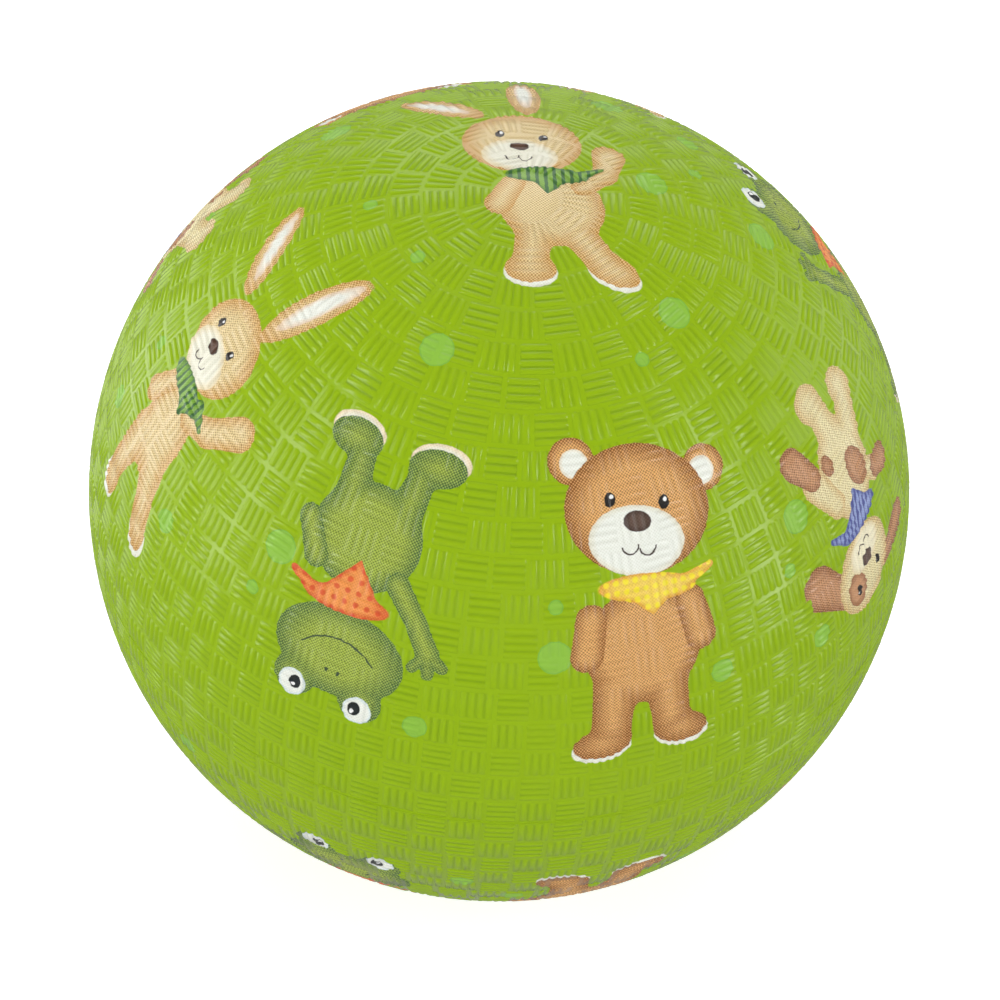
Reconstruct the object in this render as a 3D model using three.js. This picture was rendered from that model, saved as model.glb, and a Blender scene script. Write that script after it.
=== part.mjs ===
// Playground rubber ball, basket-weave cover, needle inflation valve.
// Units are millimetres, +Z up. The origin is the centre of the ball.
// +Z is the axis of the mould: the two halves of the pattern meet on the equator
// (the XY plane) and the inflation valve sits at the -Z pole.
//
// Every piece is a body of revolution about Z, drawn as one closed profile.
import * as THREE from "three";

// ---------------------------------------------------------------- dimensions
const BALL_R = 90; // outside radius of the inflated ball (180 mm, a nominal 7 in ball)
const GAP = 0.3; // bond line between neighbouring pieces

// wall of the ball, from outside to inside
const COVER_T = 1.4; // coloured outer ply
const BLADDER_T = 0.9; // airtight inner ply
const PATCH_T = 0.8; // reinforcing patch round the valve
const FLANGE_T = 1.2; // flange of the valve housing

// parting line of the mould, a fine bead round the equator
const PARTING_W = 0.9;
const PARTING_H = 0.2;

// smooth land and raised ring round the valve
const RING_R = 8.0; // radius of the ring's crest about the valve axis
const RING_W = 1.4;
const RING_H = 0.28;

// valve
const HOLE_R = 5.5; // hole through cover, bladder and patch
const STEM_R = HOLE_R - GAP; // stem of the housing that fills that hole
const PATCH_R = 19; // outer radius of the patch
const FLANGE_R = 13; // outer radius of the housing's flange
const BODY_R = 7.0; // inner body of the housing
const BODY_END = 77.5; // distance of the body's inner end from the ball's centre
const NECK_R = 0.7; // needle hole in the housing's face
const FUNNEL_R = 1.7; // countersink that guides the needle
const FUNNEL_D = 0.9;
const BORE_R = 3.0; // bore that holds the plug
const BORE_TOP = 1.9; // depth of the bore's blind end below the housing's face
const PLUG_R = BORE_R - GAP;
const PLUG_END = 78.6; // distance of the plug's inner end from the ball's centre
const PLUG_CHANNEL_R = 0.45; // pilot channel moulded in the self-sealing plug
const PLUG_CHANNEL_D = 6.0;

// facets
const AROUND = 64; // sectors of the ball's surfaces
const AROUND_SMALL = 40; // sectors of the valve's pieces
const STEPS = 28; // steps of the cover profile from pole to pole
const BLADDER_AROUND = 48;
const BLADDER_STEPS = 22;

// ---------------------------------------------------------------- profiles
// A point of a half-circle of radius r, at angle a from the -Z pole.
const onSphere = (r, a) => new THREE.Vector2(r * Math.sin(a), -r * Math.cos(a));

// The angle from the -Z pole at which a sphere of radius r is h from the axis.
const angleAt = (r, h) => Math.asin(h / r);

// An arc of radius r from angle a to angle b in n steps, ends included.
function arc(r, a, b, n) {
  const points = [];
  for (let i = 0; i <= n; i++) {
    const p = onSphere(r, a + ((b - a) * i) / n);
    if (b === Math.PI && i === n) p.set(0, r);
    points.push(p);
  }
  return points;
}

// The outside of the cover: a sphere with the ring round the valve and the bead
// of the parting line standing on it.
function coverOutside() {
  const a0 = angleAt(BALL_R, HOLE_R);
  const ring = angleAt(BALL_R, RING_R);
  const half = RING_W / 2 / BALL_R;
  const bead = PARTING_W / 2 / BALL_R;
  const points = [onSphere(BALL_R, a0), onSphere(BALL_R, ring - half)];
  for (const t of [-0.5, 0, 0.5])
    points.push(
      onSphere(BALL_R + RING_H * Math.cos(t * 1.6), ring + t * half * 1.3),
    );
  points.push(onSphere(BALL_R, ring + half));
  const below = arc(BALL_R, ring + half, Math.PI / 2 - bead, STEPS / 2);
  points.push(...below.slice(1));
  points.push(onSphere(BALL_R + PARTING_H, Math.PI / 2));
  points.push(...arc(BALL_R, Math.PI / 2 + bead, Math.PI, STEPS / 2));
  return points;
}

// A closed profile turned about Z. LatheGeometry turns about Y, so the result is
// tipped over once, here, and every mesh below is already Z up.
function turned(points, sectors) {
  const g = new THREE.LatheGeometry(points, sectors);
  g.rotateX(Math.PI / 2);
  return g;
}

function mesh(name, geometry, color, roughness, metalness = 0) {
  const m = new THREE.Mesh(
    geometry,
    new THREE.MeshStandardMaterial({ color, roughness, metalness }),
  );
  m.name = name;
  return m;
}

// ---------------------------------------------------------------- cover
const coverIn = BALL_R - COVER_T;
const coverProfile = [
  ...coverOutside(),
  ...arc(coverIn, angleAt(coverIn, HOLE_R), Math.PI, STEPS).reverse(),
];
coverProfile.push(coverProfile[0].clone());
const cover = mesh("cover", turned(coverProfile, AROUND), 0x93b81c, 0.5);

// ---------------------------------------------------------------- bladder
const bladderOut = coverIn - GAP;
const bladderIn = bladderOut - BLADDER_T;
const bladderProfile = [
  ...arc(bladderOut, angleAt(bladderOut, HOLE_R), Math.PI, BLADDER_STEPS),
  ...arc(bladderIn, angleAt(bladderIn, HOLE_R), Math.PI, BLADDER_STEPS).reverse(),
];
bladderProfile.push(bladderProfile[0].clone());
const bladder = mesh("bladder", turned(bladderProfile, BLADDER_AROUND), 0x2b2a28, 0.6);

// ---------------------------------------------------------------- valve patch
const patchOut = bladderIn - GAP;
const patchIn = patchOut - PATCH_T;
const patchProfile = [
  ...arc(patchOut, angleAt(patchOut, HOLE_R), angleAt(patchOut, PATCH_R), 4),
  // feathered rim
  onSphere(patchIn + 0.3, angleAt(patchIn, PATCH_R) + 0.008),
  ...arc(
    patchIn,
    angleAt(patchIn, PATCH_R) - 0.012,
    angleAt(patchIn, HOLE_R),
    4,
  ),
];
patchProfile.push(patchProfile[0].clone());
const patch = mesh(
  "valve_patch",
  turned(patchProfile, AROUND_SMALL),
  0xb9a06a,
  0.7,
);

// ---------------------------------------------------------------- valve housing
// Flat outer face at the ball's own radius, so the valve is flush with the cover.
const face = -BALL_R;
const flangeOut = patchIn - GAP;
const flangeIn = flangeOut - FLANGE_T;
const housingProfile = [
  new THREE.Vector2(FUNNEL_R, face),
  new THREE.Vector2(STEM_R, face),
  ...arc(
    flangeOut,
    angleAt(flangeOut, STEM_R),
    angleAt(flangeOut, FLANGE_R),
    3,
  ),
  ...arc(
    flangeIn,
    angleAt(flangeIn, FLANGE_R),
    angleAt(flangeIn, BODY_R + 0.8),
    2,
  ),
  new THREE.Vector2(BODY_R, -flangeIn + 1.6),
  new THREE.Vector2(BODY_R, -BODY_END - 0.8),
  new THREE.Vector2(BODY_R - 0.8, -BODY_END),
  new THREE.Vector2(BORE_R + 0.5, -BODY_END),
  new THREE.Vector2(BORE_R, -BODY_END - 0.5),
  new THREE.Vector2(BORE_R, face + BORE_TOP),
  new THREE.Vector2(NECK_R, face + BORE_TOP),
  new THREE.Vector2(NECK_R, face + FUNNEL_D),
  new THREE.Vector2(FUNNEL_R, face),
];
const housing = mesh(
  "valve_housing",
  turned(housingProfile, AROUND_SMALL),
  0x35402a,
  0.55,
);

// ---------------------------------------------------------------- valve plug
const plugFace = face + BORE_TOP + GAP;
const plugProfile = [
  new THREE.Vector2(0, plugFace + PLUG_CHANNEL_D),
  new THREE.Vector2(PLUG_CHANNEL_R, plugFace + PLUG_CHANNEL_D),
  new THREE.Vector2(PLUG_CHANNEL_R, plugFace),
  new THREE.Vector2(PLUG_R - 0.3, plugFace),
  new THREE.Vector2(PLUG_R, plugFace + 0.3),
  new THREE.Vector2(PLUG_R, -PLUG_END - 0.4),
  new THREE.Vector2(PLUG_R - 0.4, -PLUG_END),
  new THREE.Vector2(0, -PLUG_END),
];
const plug = mesh(
  "valve_plug",
  turned(plugProfile, AROUND_SMALL),
  0x1c1c1b,
  0.5,
);

// ---------------------------------------------------------------- assembly
const valve = new THREE.Group();
valve.add(patch, housing, plug);

const ball = new THREE.Group();
ball.add(cover, bladder, valve);

export default ball;
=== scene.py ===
import math

import bpy
import numpy as np
from mathutils import Matrix, Vector


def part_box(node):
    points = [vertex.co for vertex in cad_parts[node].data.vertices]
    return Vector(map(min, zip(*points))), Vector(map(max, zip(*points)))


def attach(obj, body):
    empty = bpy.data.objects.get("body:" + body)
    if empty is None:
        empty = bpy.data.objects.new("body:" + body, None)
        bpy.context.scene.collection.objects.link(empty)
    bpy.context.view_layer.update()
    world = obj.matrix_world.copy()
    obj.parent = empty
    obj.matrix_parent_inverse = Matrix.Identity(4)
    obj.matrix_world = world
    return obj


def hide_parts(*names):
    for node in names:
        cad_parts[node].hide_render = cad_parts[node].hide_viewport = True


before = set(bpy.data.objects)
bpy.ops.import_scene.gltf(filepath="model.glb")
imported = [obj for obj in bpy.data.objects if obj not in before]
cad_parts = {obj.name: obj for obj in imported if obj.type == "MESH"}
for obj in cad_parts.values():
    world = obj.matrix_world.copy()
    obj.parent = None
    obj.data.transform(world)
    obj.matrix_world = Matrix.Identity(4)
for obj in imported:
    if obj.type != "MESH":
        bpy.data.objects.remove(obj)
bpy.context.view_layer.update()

# ---------------------------------------------------------------- sizes, mm
cover_lo, cover_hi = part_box("cover")
R = round((cover_hi.x - cover_lo.x) * 500 - 0.2, 2)  # the bead on the parting line stands 0.2 proud
RELIEF = 0.30  # depth of the grooves of the weave
TOP = R - 0.02
BASE = TOP - RELIEF
INNER = R - 1.4
ROW = 4.5  # degrees of colatitude in one row of tiles
MARGIN = 0.21  # flat land round each tile
HOLE_R = 5.5
SEED = 7

# Rows of the weave from the pole: tiles in the row, fold of its repeat, where the first tile starts, its lie.
# V ribs run along the meridian, H ribs along the parallel. The south half mirrors the north.
ROWS = {
    1: (10, 1, 4.0, "V"),
    2: (16, 1, -5.0, "H"),
    3: (22, 1, -9.7, "V"),
    4: (25, 1, 182.5, "V"),
    5: (31, 1, -21.3, "H"),
    6: (36, 4, -1.0, "H"),
    7: (40, 8, -12.0, "H"),
    8: (48, 1, -11.25, "V"),
    9: (52, 4, -6.75, "H"),
    10: (56, 1, -4.26, "V"),
    11: (60, 4, -0.2, "H"),
    12: (64, 1, 2.19, "V"),
    13: (64, 1, -3.36, "V"),
    14: (72, 8, -4.1, "H"),
    15: (72, 8, -3.0, "V"),
    16: (80, 1, 1.7, "V"),
    17: (80, 1, -2.75, "V"),
    18: (80, 1, 1.35, "V"),
    19: (80, 1, -2.75, "V"),
}
FIRST, LAST = 1, 37  # tiled rows; row 0 is the smooth pole, rows 38 and 39 the land round the valve
BEAD = 0.17  # half width of the bead on the parting line

# ---------------------------------------------------------------- the print: where each figure stands
# kind, longitude, colatitude, turn of its own up from north (180 stands on its head), half width, half height
FIGURES = [
    ("rabbit", -66, 48, 0, 26, 47),
    ("frog", -21, 58, 180, 24, 36),
    ("bear", 22, 57, 0, 25, 40),
    ("dog", 67, 57, 180, 24, 35),
    ("frog", 113, 53, 24, 26, 36),
    ("rabbit", 164, 64, 180, 26, 47),
    ("bear", 207, 57, 0, 25, 40),
    ("dog", 248, 57, 180, 24, 35),
    ("hare", 0, 9, 0, 34, 76),
    ("frog", -17, 122.5, 0, 24, 36),
    ("bear", 20, 128, 180, 25, 40),
    ("dog", 64, 126, 0, 24, 35),
    ("rabbit", 109, 130, 180, 26, 47),
    ("bear", 155, 126, 0, 25, 40),
    ("frog", 201, 126, 180, 24, 36),
    ("rabbit", 247, 128, 0, 26, 47),
    ("dog", 296, 126, 180, 24, 35),
]

# longitude, colatitude and diameter in degrees of the dots between them
DOTS = [
    (-21.8, 25.8, 4.4), (56.3, 24.9, 4.4), (38.1, 27.6, 1.9), (114.7, 18.1, 4.4), (-88.0, 20.2, 1.9),
    (-50.9, 16.8, 1.9), (-33.7, 57.2, 4.4), (-35.6, 64.2, 1.9), (-54.3, 66.4, 3.2), (-8.3, 74.3, 3.2),
    (10.0, 62.7, 4.4), (10.1, 56.0, 1.9), (34.4, 69.9, 3.2), (53.5, 55.9, 4.4), (48.9, 61.7, 1.9),
    (52.4, 74.4, 3.2), (-105.2, 50.9, 4.4), (-79.5, 54.8, 1.9), (-79.7, 66.5, 3.2), (7.3, 114.7, 3.2),
    (34.9, 114.0, 3.2), (-127.3, 35.0, 4.4), (121.6, 26.8, 1.9), (137.0, 32.6, 3.2),
]


def unit(lon, colat):
    """Direction of a longitude and colatitude in degrees: longitude 0 is the front, -Y, and 90 is +X."""
    a, c = np.radians(lon), np.radians(colat)
    return np.stack([np.sin(c) * np.sin(a), -np.sin(c) * np.cos(a), np.cos(c)], -1)


def axes_at(lon, colat, turn):
    p = unit(lon, colat)
    north = np.array([0.0, 0.0, 1.0]) - p * p[2]
    north /= np.linalg.norm(north)
    east = np.cross(north, p)
    a = math.radians(turn)
    return p, east * math.cos(a) - north * math.sin(a), north * math.cos(a) + east * math.sin(a)


def on_sheet(d, axes):
    """Where directions d fall on a sheet wrapped on the ball at axes, in mm: right and up."""
    p, right, up = axes
    cosine = np.clip(d @ p, -1, 1)
    flat = d - cosine[..., None] * p
    length = np.maximum(np.linalg.norm(flat, axis=-1), 1e-9)
    reach = R * np.arccos(cosine) / length
    return np.stack([reach * (flat @ right), reach * (flat @ up)], -1)


# ---------------------------------------------------------------- the weave
PROFILE_AT = np.array([-0.5, -0.39, -0.30, -0.17, 0.0, 0.17, 0.30, 0.39])
PROFILE_D = np.array([0.0, 0.10, 0.17, 0.24, 0.30, 0.39, 0.42, 0.5])
PROFILE_H = np.array([1.0, 0.98, 0.93, 0.80, 0.58, 0.03, 0.0, 0.0])
EACH = len(PROFILE_AT)
ALONG_MM = (0.0, 0.20, 0.42, 0.72)


def row_tiles(k):
    """(start longitudes, tile width, lies) of row k, or None where the row is smooth."""
    if not FIRST <= k <= LAST:
        return None
    n, fold, start, lie = ROWS[k if k < 20 else 39 - k]
    width = 360.0 / n
    other = "H" if lie == "V" else "V"
    return (
        start + width * np.arange(n),
        width,
        [lie if (i % (n // fold)) % 2 == 0 else other for i in range(n)],
    )


def colat_of(k):
    return ROW * k


class Ring:
    """The vertices that rows k - 1 and k share: every corner of both, and more between."""

    def __init__(self, k):
        self.colat = colat_of(k)
        s = math.sin(math.radians(self.colat))
        per_mm = 360.0 / (2 * math.pi * R * s)
        marks = []
        for row in (k - 1, k):
            t = row_tiles(row)
            if t:
                marks += [(lon % 360.0, row, i) for i, lon in enumerate(t[0])]
        if not marks:
            n = 64
            marks = [(360.0 * i / n, -1, i) for i in range(n)]
        marks.sort()
        groups, tol = [], 0.3 * per_mm
        for m in marks:
            if groups and m[0] - groups[-1][-1][0] < tol:
                groups[-1].append(m)
            else:
                groups.append([m])
        if len(groups) > 1 and groups[0][0][0] + 360 - groups[-1][-1][0] < tol:
            groups[0] = [(m[0] - 360, m[1], m[2]) for m in groups.pop()] + groups[0]
        at = [sum(m[0] for m in g) / len(g) for g in groups]
        lons, self.corner = [], {}
        for i, g in enumerate(groups):
            here = at[i]
            for m in g:
                self.corner[(m[1], m[2])] = len(lons)
            ahead = at[i + 1] if i + 1 < len(at) else at[0] + 360
            steps = max(1, int(math.ceil((ahead - here) / (2.6 * per_mm))))
            lons += [here + (ahead - here) * j / steps for j in range(steps)]
        self.lons = np.array(lons)


RINGS = {k: Ring(k) for k in range(1, 39)}


class Soup:
    """Vertices by longitude, colatitude (degrees) and radius (mm), and triangles, for one band."""

    def __init__(self):
        self.parts, self.count, self.tris = [], 0, []

    def add(self, lon, colat, radius, relief=0.0):
        lon = np.atleast_1d(np.asarray(lon, float)).ravel()
        row = np.empty((len(lon), 4))
        row[:, 0], row[:, 1], row[:, 2], row[:, 3] = (
            lon,
            np.ravel(colat) if np.ndim(colat) else colat,
            np.ravel(radius) if np.ndim(radius) else radius,
            np.ravel(relief) if np.ndim(relief) else relief,
        )
        self.parts.append(row)
        ids = np.arange(self.count, self.count + len(lon))
        self.count += len(lon)
        return ids

    def bridge(self, a, at, b, bt):
        """Triangles between two runs of vertices, a and b, at positions at and bt along them."""
        i = j = 0
        out = []
        while i < len(a) - 1 or j < len(b) - 1:
            if j == len(b) - 1 or (i < len(a) - 1 and at[i + 1] + at[i] <= bt[j + 1] + bt[j]):
                out.append((a[i], a[i + 1], b[j]))
                i += 1
            else:
                out.append((a[i], b[j + 1], b[j]))
                j += 1
        self.tris.append(np.array(out, int))

    def loop(self, a, alon, b, blon):
        """Triangles between two closed rings, given by rising longitudes."""
        k = int(np.argmin(np.abs((np.asarray(blon) - alon[0] + 180) % 360 - 180)))
        b = np.roll(b, -k)
        bl = np.roll(np.asarray(blon, float), -k)
        bl = bl[0] + np.concatenate([[0], np.cumsum(np.diff(bl) % 360)])
        bl += round((alon[0] - bl[0]) / 360) * 360
        al = np.asarray(alon, float)
        self.bridge(
            np.append(a, a[0]), np.append(al, al[0] + 360), np.append(b, b[0]), np.append(bl, bl[0] + 360)
        )

    def grid(self, ids):
        a, b, c, d = ids[:-1, :-1].ravel(), ids[:-1, 1:].ravel(), ids[1:, 1:].ravel(), ids[1:, :-1].ravel()
        self.tris.append(np.stack([a, b, c], 1))
        self.tris.append(np.stack([a, c, d], 1))


def tile(soup, west, east, c0, c1, lie, rng):
    """Vertices and faces of one tile's four ribs. west and east give its side's longitude at a share down it."""
    height = math.radians(c1 - c0) * R
    mid = math.sin(math.radians((c0 + c1) / 2))
    width = math.radians(east(0.5) - west(0.5)) * R * mid
    if lie == "V":
        room, length = width - 2 * MARGIN, height - 2 * MARGIN
    else:
        room, length = height - 2 * MARGIN, width - 2 * MARGIN
    pitch = room / 4
    x = np.concatenate([j + 0.5 + PROFILE_AT for j in range(4)] + [[4.0]]) / 4
    e = np.array(ALONG_MM + tuple(length - v for v in ALONG_MM[::-1]))
    rib = np.minimum(np.arange(4 * EACH + 1) // EACH, 3)
    off = np.concatenate([np.tile(PROFILE_AT, 4), [0.5]])
    heights = rng.uniform(0.86, 1.0, 4)
    shift = rng.uniform(-0.045, 0.045, (4, 2))  # mm, at each end
    short = rng.uniform(0.0, 0.22, (4, 2))
    bell = np.clip(1 - np.abs(off) / 0.5, 0, 1)
    share = e / length
    moved = (shift[rib, 0][None, :] * (1 - share)[:, None] + shift[rib, 1][None, :] * share[:, None]) * bell
    near = np.minimum(
        np.maximum(e[:, None] - short[rib, 0][None, :], 0),
        np.maximum(length - e[:, None] - short[rib, 1][None, :], 0),
    )
    end = 0.5 * pitch
    power = 2.7  # ends squarer than a half circle
    d = (np.abs(off)[None, :] ** power + (np.maximum(end - near, 0) / pitch) ** power) ** (1 / power)
    relief = np.interp(d, PROFILE_D, PROFILE_H) * heights[rib][None, :]
    # painted shade, carried to the cover in the relief attribute: where this is low, in the grooves between ribs, the
    # cover's colour is painted darker; the grooves of V tiles get less of it
    painted_groove_shade = relief.copy()
    if lie == "V":
        painted_groove_shade = np.maximum(painted_groove_shade, 0.14)
    painted_groove_shade[:2] = painted_groove_shade[-2:] = 0.6  # painted shade: the land round the ribs is painted as pale as their tops, so only the grooves between ribs are painted dark
    painted_groove_shade[:, 0] = painted_groove_shade[:, -1] = 0.6
    across = MARGIN + x[None, :] * room + moved  # (along, across) in mm
    along = MARGIN + e[:, None] + 0 * across
    if lie == "V":
        s, t = across / width, along / height
    else:
        s, t = along / width, across / height
        s, t, relief, painted_groove_shade = s.T, t.T, relief.T, painted_groove_shade.T
    lon = west(t) + s * (east(t) - west(t))
    colat = c0 + t * (c1 - c0)
    ids = soup.add(lon, colat, BASE + RELIEF * relief, painted_groove_shade).reshape(lon.shape)
    soup.grid(ids)
    return ids, lon, colat


SIDE = np.array([0.25, 0.5, 0.75])


def weave_row(soup, k, ring_ids, c0, c1, rng):
    starts, width, lies = row_tiles(k)
    n = len(starts)
    top, low = RINGS[k], RINGS[k + 1]
    tl = np.array([top.lons[top.corner[(k, i)]] for i in range(n)])
    bl = np.array([low.lons[low.corner[(k, i)]] for i in range(n)])
    tl = starts + (tl - starts + 180) % 360 - 180
    bl = starts + (bl - starts + 180) % 360 - 180
    tl, bl = np.append(tl, tl[0] + 360), np.append(bl, bl[0] + 360)
    sides = []
    for i in range(n):
        ids = soup.add(tl[i] + SIDE * (bl[i] - tl[i]), c0 + SIDE * (c1 - c0), BASE, 0.6)
        sides.append(
            np.concatenate([[ring_ids[k][top.corner[(k, i)]]], ids, [ring_ids[k + 1][low.corner[(k, i)]]]])
        )
    sides.append(sides[0])
    down = np.array([0, 0.25, 0.5, 0.75, 1.0])
    for i in range(n):
        ids, lon, colat = tile(
            soup,
            lambda t, i=i: tl[i] + t * (bl[i] - tl[i]),
            lambda t, i=i: tl[i + 1] + t * (bl[i + 1] - tl[i + 1]),
            c0, c1, lies[i], rng,
        )
        for ring, key, run, at, a, z in (
            (top, k, ids[0], lon[0], tl[i], tl[i + 1]),
            (low, k + 1, ids[-1], lon[-1], bl[i], bl[i + 1]),
        ):
            m = len(ring.lons)
            p, q = ring.corner[(k, i)], ring.corner[(k, (i + 1) % n)]
            steps = (q - p) % m or m
            pick = [(p + j) % m for j in range(steps + 1)]
            bt = a + (ring.lons[pick] - ring.lons[p]) % 360
            bt[-1] = z
            soup.bridge(run, at, ring_ids[key][pick], bt)
        share = (colat - c0) / (c1 - c0)
        soup.bridge(ids[:, 0], share[:, 0], sides[i], down)
        soup.bridge(ids[:, -1], share[:, -1], sides[i + 1], down)


EVEN = np.arange(96) * 3.75


def smooth_rings(soup, first, first_lons, rows):
    """Plain rings of 96 vertices down from a first one: rows of (colat, radius, relief), where relief is the value of
    painted shade, left unshaded at 0.3 and over.
    """
    last, lons = first, first_lons
    for colat, radius, relief in rows:
        ids = soup.add(EVEN, colat, radius, relief)
        if len(lons) == 96 and np.allclose(lons, EVEN):
            soup.grid(np.stack([np.append(last, last[0]), np.append(ids, ids[0])]))
        else:
            soup.loop(last, lons, ids, EVEN)
        last, lons = ids, EVEN
    return last


def mm_from_south(mm):
    return 180.0 - math.degrees(math.asin(mm / R))


def build_band(b):
    """Band b, rows 4b to 4b + 3, as one closed shell 1.4 mm thick: vertices, triangles, and which are sharp."""
    soup = Soup()
    rng = np.random.default_rng(SEED + b)
    k0, k1 = 4 * b, 4 * b + 4
    edge = math.degrees(BEAD / R)
    ids = {}
    for k in range(max(k0, 1), min(k1, 38) + 1):
        c = RINGS[k].colat - (edge if k == 20 and b == 4 else -edge if k == 20 else 0)
        ids[k] = soup.add(RINGS[k].lons, c, BASE, 0.6)
    for k in range(k0, k1):
        if row_tiles(k):
            c0 = ROW * k + (edge if k == 20 else 0)
            c1 = ROW * (k + 1) - (edge if k == 19 else 0)
            weave_row(soup, k, ids, c0, c1, rng)
    rims = []  # (ids, lons) of the open rims of the outer face, north one first
    if b == 0:  # smooth pole
        last = smooth_rings(
            soup, ids[1], RINGS[1].lons, [(4.1, BASE + 0.02, 0.6), (3.7, TOP - 0.12, 0.6), (3.2, TOP - 0.04, 0.9), (1.6, TOP, 1.0)]
        )
        pole = soup.add(0, 0, TOP, 1.0)
        soup.tris.append(np.stack([last, np.roll(last, -1), np.full(96, pole[0])], 1))
    else:
        rims.append((ids[k0], RINGS[k0].lons))
    if b in (4, 5):  # the bead where the mould's halves met
        key = 20
        lons = RINGS[20].lons
        sign = -1 if b == 4 else 1
        last = ids[key]
        for mm, radius in ((0.11, TOP - 0.10), (0.06, TOP - 0.03), (0.0, TOP - 0.01)):
            c = 90 + sign * math.degrees(mm / R)
            now = soup.add(lons, c, radius, 0.9)
            soup.grid(np.stack([np.append(last, last[0]), np.append(now, now[0])]))
            last = now
        if b == 4:
            rims.append((last, lons))
        else:
            rims[0] = (last, lons)
    elif b != 9:
        rims.append((ids[k1], RINGS[k1].lons))
    if b == 9:  # the land, its ring and the hole for the valve
        rows = [(mm_from_south(13.9), BASE, 0.6), (mm_from_south(13.55), BASE + 0.05, 0.6), (mm_from_south(13.1), TOP - 0.08, 0.7), (mm_from_south(12.5), TOP - 0.02, 0.9), (mm_from_south(10.5), TOP, 0.9)]
        for mm, up in ((8.95, 0.0), (8.66, 0.05), (8.42, 0.20), (8.15, 0.27), (7.85, 0.27), (7.58, 0.20), (7.34, 0.05), (7.05, 0.0), (6.2, 0.0), (5.75, -0.01), (5.6, -0.06), (HOLE_R, -0.18)):
            rows.append((mm_from_south(mm), R - 0.01 + up, 0.9))
        last = smooth_rings(soup, ids[38], RINGS[38].lons, rows)
        rims.append((last, EVEN))
    outer_tris = sum(len(t) for t in soup.tris)
    outer_verts = soup.count
    # inner face, and the walls at each rim
    steps = np.linspace(ROW * k0, ROW * k1, 7)
    if b == 9:
        steps = np.append(steps[:-1], math.degrees(math.pi - math.asin(HOLE_R / INNER)))
    if b == 0:
        pole = soup.add(0, 0, INNER)
        steps = steps[1:]
    rings = [soup.add(EVEN, c, INNER) for c in steps]
    if b == 0:
        soup.tris.append(np.stack([rings[0], np.roll(rings[0], -1), np.full(96, pole[0])], 1))
    for a, z in zip(rings[:-1], rings[1:]):
        soup.grid(np.stack([np.append(a, a[0]), np.append(z, z[0])]))
    inner_tris = sum(len(t) for t in soup.tris) - outer_tris
    walls = []
    for n, (rim, lons) in enumerate(rims):
        north = n == 0 and b != 0
        soup.loop(rim, lons, rings[0] if north else rings[-1], EVEN)
        walls.append((len(soup.tris[-1]), north))
    v = np.concatenate(soup.parts)
    t = np.concatenate(soup.tris)
    xyz = unit(v[:, 0], v[:, 1]) * v[:, 2:3]
    # every face outwards
    n = np.cross(xyz[t[:, 1]] - xyz[t[:, 0]], xyz[t[:, 2]] - xyz[t[:, 0]])
    m = xyz[t].mean(1)
    radial = (n * m).sum(1)
    out = np.ones(len(t), bool)
    out[:outer_tris] = radial[:outer_tris] > 0
    out[outer_tris : outer_tris + inner_tris] = radial[outer_tris : outer_tris + inner_tris] < 0
    at = outer_tris + inner_tris
    south = np.stack([m[:, 0] * m[:, 2], m[:, 1] * m[:, 2], -(m[:, 0] ** 2 + m[:, 1] ** 2)], 1)
    for count, north in walls:
        side = (n[at : at + count] * south[at : at + count]).sum(1)
        out[at : at + count] = side < 0 if north else side > 0
        at += count
    t[~out] = t[~out][:, ::-1]
    area = np.linalg.norm(n, axis=1)
    keep = area > 1e-9
    return v, xyz, t[keep], (np.arange(len(t)) < outer_tris)[keep], [r[0] for r in rims], outer_verts


# ---------------------------------------------------------------- materials
def linear(r, g, b):
    """sRGB 0-255 to linear."""
    return tuple((c / 255 / 12.92) if c <= 10 else (((c / 255) + 0.055) / 1.055) ** 2.4 for c in (r, g, b)) + (1.0,)


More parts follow.
